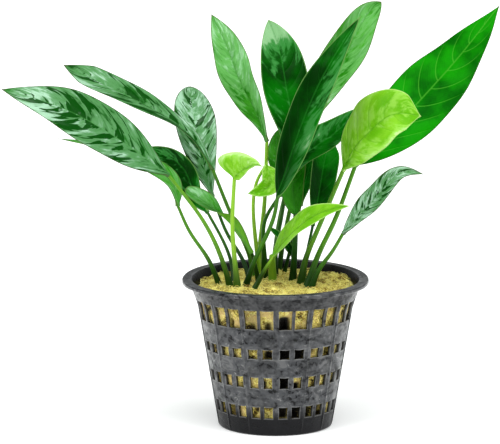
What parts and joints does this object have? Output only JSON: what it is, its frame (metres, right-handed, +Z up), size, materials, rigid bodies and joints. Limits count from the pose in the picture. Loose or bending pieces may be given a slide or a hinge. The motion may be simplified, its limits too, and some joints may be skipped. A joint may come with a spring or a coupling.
{
  "type": "potted anubias",
  "caption": "Broad-leaved water plant with upright stalks in a small slotted nursery pot packed with stone wool.",
  "frame": {"origin": "centre of the pot's underside, on the plane it rests on", "axes": "+Z up along the pot's axis, -Y towards the side the plant is usually seen from, +X to the right as seen from there"},
  "size_m": [0.1455, 0.0618, 0.1228],
  "materials": {
    "blade_back_hidden": "waxy leaf, glossy above and duller below",
    "blade_back_upright": "waxy leaf, glossy above and duller below",
    "blade_blue_slip": "waxy leaf, glossy above and duller below",
    "blade_centre_dark": "waxy leaf, glossy above and duller below",
    "blade_centre_upright": "waxy leaf, glossy above and duller below",
    "blade_far_left": "waxy leaf, glossy above and duller below",
    "blade_far_right": "waxy leaf, glossy above and duller below",
    "blade_front_lance": "young leaf, yellow-green, slightly translucent",
    "blade_heart": "young leaf, yellow-green, slightly translucent",
    "blade_left_dark": "waxy leaf, glossy above and duller below",
    "blade_left_oval": "waxy leaf, glossy above and duller below",
    "blade_lime_right": "young leaf, yellow-green, slightly translucent",
    "blade_low_left": "waxy leaf, glossy above and duller below",
    "blade_low_right": "waxy leaf, glossy above and duller below",
    "blade_right_shaded": "waxy leaf, glossy above and duller below",
    "blade_right_upright": "waxy leaf, glossy above and duller below",
    "blade_tall_back": "waxy leaf, glossy above and duller below",
    "blade_tall_dark": "waxy leaf, glossy above and duller below",
    "blade_tall_left": "waxy leaf, glossy above and duller below",
    "blade_twisted": "waxy leaf, glossy above and duller below",
    "blade_upper_left": "waxy leaf, glossy above and duller below",
    "blade_young_curl": "young leaf, yellow-green, slightly translucent",
    "net_pot": "black moulded plastic, satin, with scuffs and dried water marks",
    "rhizome_left": "brown-green rootstock bark, dull",
    "rhizome_middle": "brown-green rootstock bark, dull",
    "rhizome_right": "brown-green rootstock bark, dull",
    "stalk_back_hidden": "smooth leaf stalk, satin",
    "stalk_back_upright": "smooth leaf stalk, satin",
    "stalk_blue_slip": "smooth leaf stalk, satin",
    "stalk_centre_dark": "smooth leaf stalk, satin",
    "stalk_centre_upright": "smooth leaf stalk, satin",
    "stalk_far_left": "smooth leaf stalk, satin",
    "stalk_far_right": "smooth leaf stalk, satin",
    "stalk_front_lance": "smooth leaf stalk, satin",
    "stalk_heart": "smooth leaf stalk, satin",
    "stalk_left_dark": "smooth leaf stalk, satin",
    "stalk_left_oval": "smooth leaf stalk, satin",
    "stalk_lime_right": "smooth leaf stalk, satin",
    "stalk_low_left": "smooth leaf stalk, satin",
    "stalk_low_right": "smooth leaf stalk, satin",
    "stalk_right_shaded": "smooth leaf stalk, satin",
    "stalk_right_upright": "smooth leaf stalk, satin",
    "stalk_tall_back": "smooth leaf stalk, satin",
    "stalk_tall_dark": "smooth leaf stalk, satin",
    "stalk_tall_left": "smooth leaf stalk, satin",
    "stalk_twisted": "smooth leaf stalk, satin",
    "stalk_upper_left": "smooth leaf stalk, satin",
    "stalk_young_curl": "smooth leaf stalk, satin",
    "stone_wool": "matted mineral fibre, tan, dull",
    "young_shoot": "rolled young leaf, satin"
  },
  "bodies": {
    "root": {"blade_back_hidden": "blade_back_hidden", "blade_back_upright": "blade_back_upright", "blade_blue_slip": "blade_blue_slip", "blade_centre_dark": "blade_centre_dark", "blade_centre_upright": "blade_centre_upright", "blade_far_left": "blade_far_left", "blade_far_right": "blade_far_right", "blade_front_lance": "blade_front_lance", "blade_heart": "blade_heart", "blade_left_dark": "blade_left_dark", "blade_left_oval": "blade_left_oval", "blade_lime_right": "blade_lime_right", "blade_low_left": "blade_low_left", "blade_low_right": "blade_low_right", "blade_right_shaded": "blade_right_shaded", "blade_right_upright": "blade_right_upright", "blade_tall_back": "blade_tall_back", "blade_tall_dark": "blade_tall_dark", "blade_tall_left": "blade_tall_left", "blade_twisted": "blade_twisted", "blade_upper_left": "blade_upper_left", "blade_young_curl": "blade_young_curl", "net_pot": "net_pot", "rhizome_left": "rhizome_left", "rhizome_middle": "rhizome_middle", "rhizome_right": "rhizome_right", "stalk_back_hidden": "stalk_back_hidden", "stalk_back_upright": "stalk_back_upright", "stalk_blue_slip": "stalk_blue_slip", "stalk_centre_dark": "stalk_centre_dark", "stalk_centre_upright": "stalk_centre_upright", "stalk_far_left": "stalk_far_left", "stalk_far_right": "stalk_far_right", "stalk_front_lance": "stalk_front_lance", "stalk_heart": "stalk_heart", "stalk_left_dark": "stalk_left_dark", "stalk_left_oval": "stalk_left_oval", "stalk_lime_right": "stalk_lime_right", "stalk_low_left": "stalk_low_left", "stalk_low_right": "stalk_low_right", "stalk_right_shaded": "stalk_right_shaded", "stalk_right_upright": "stalk_right_upright", "stalk_tall_back": "stalk_tall_back", "stalk_tall_dark": "stalk_tall_dark", "stalk_tall_left": "stalk_tall_left", "stalk_twisted": "stalk_twisted", "stalk_upper_left": "stalk_upper_left", "stalk_young_curl": "stalk_young_curl", "stone_wool": "stone_wool", "young_shoot": "young_shoot"}
  },
  "joints": []
}
